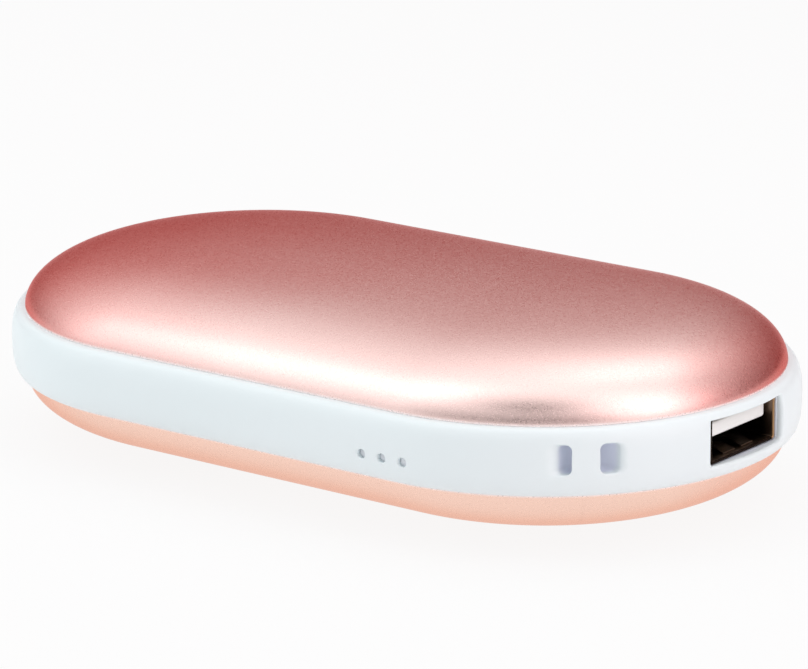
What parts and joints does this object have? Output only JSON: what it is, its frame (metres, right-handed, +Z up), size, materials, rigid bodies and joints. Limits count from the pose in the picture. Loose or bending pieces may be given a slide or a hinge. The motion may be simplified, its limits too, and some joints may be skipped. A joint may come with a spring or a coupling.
{
  "type": "rechargeable hand warmer",
  "caption": "Pebble-shaped rechargeable hand warmer with satin metal covers on a white plastic band, a power outlet, a charging inlet, a push button, lamps and a lanyard bar.",
  "frame": {"origin": "on the resting face of the lower cover, under the middle of the outline", "axes": "+X along the length towards the power outlet, +Y towards the side with the power button and the charging inlet, +Z up through the upper cover"},
  "size_m": [0.1078, 0.0628, 0.0244],
  "materials": {
    "upper_metal": "satin",
    "lower_metal": "satin",
    "white_plastic": "satin",
    "grey_plastic": "matte",
    "amber_film": "satin",
    "grey_pad": "matte",
    "cell_sleeve": "satin",
    "nickel": "satin",
    "steel": "satin",
    "board": "satin",
    "black_plastic": "matte",
    "cream_plastic": "satin",
    "gold": "polished",
    "clear_guide": "gloss",
    "led_lens": "gloss",
    "ceramic": "satin",
    "red_wire": "satin",
    "black_wire": "satin"
  },
  "bodies": {
    "warmer": {"board_screw_1": "steel", "board_screw_2": "steel", "boost_chip": "black_plastic", "capacitor_1": "ceramic", "capacitor_2": "ceramic", "cell_1": "cell_sleeve", "cell_2": "cell_sleeve", "charger_chip": "black_plastic", "front_saddle": "grey_plastic", "inductor": "black_plastic", "led_1": "led_lens", "led_2": "led_lens", "led_3": "led_lens", "light_guide": "clear_guide", "lower_film_lead_1": "red_wire", "lower_film_lead_2": "black_wire", "lower_heater_film": "amber_film", "lower_liner": "grey_plastic", "lower_pad": "grey_pad", "lower_shell": "lower_metal", "main_board": "board", "micro_usb_shield": "steel", "micro_usb_tongue": "black_plastic", "middle_frame": "white_plastic", "negative_lead": "black_wire", "negative_strip": "nickel", "positive_lead": "red_wire", "positive_strip": "nickel", "rear_saddle": "grey_plastic", "saddle_screw_1": "steel", "saddle_screw_2": "steel", "saddle_screw_3": "steel", "saddle_screw_4": "steel", "switch_body": "black_plastic", "thermistor": "ceramic", "upper_film_lead_1": "red_wire", "upper_film_lead_2": "black_wire", "upper_heater_film": "amber_film", "upper_liner": "grey_plastic", "upper_pad": "grey_pad", "upper_shell": "upper_metal", "usb_a_contact_1": "gold", "usb_a_contact_2": "gold", "usb_a_contact_3": "gold", "usb_a_contact_4": "gold", "usb_a_housing": "cream_plastic", "usb_a_shield": "steel"},
    "power_button": {"button_cap": "white_plastic", "switch_plunger": "cream_plastic"}
  },
  "joints": [
    {"name": "power_button_press", "type": "slide", "parent": "warmer", "child": "power_button", "axis": [0, -1, 0], "range_m": [0, 0.0004], "stiffness_N_per_m": 1500}
  ]
}
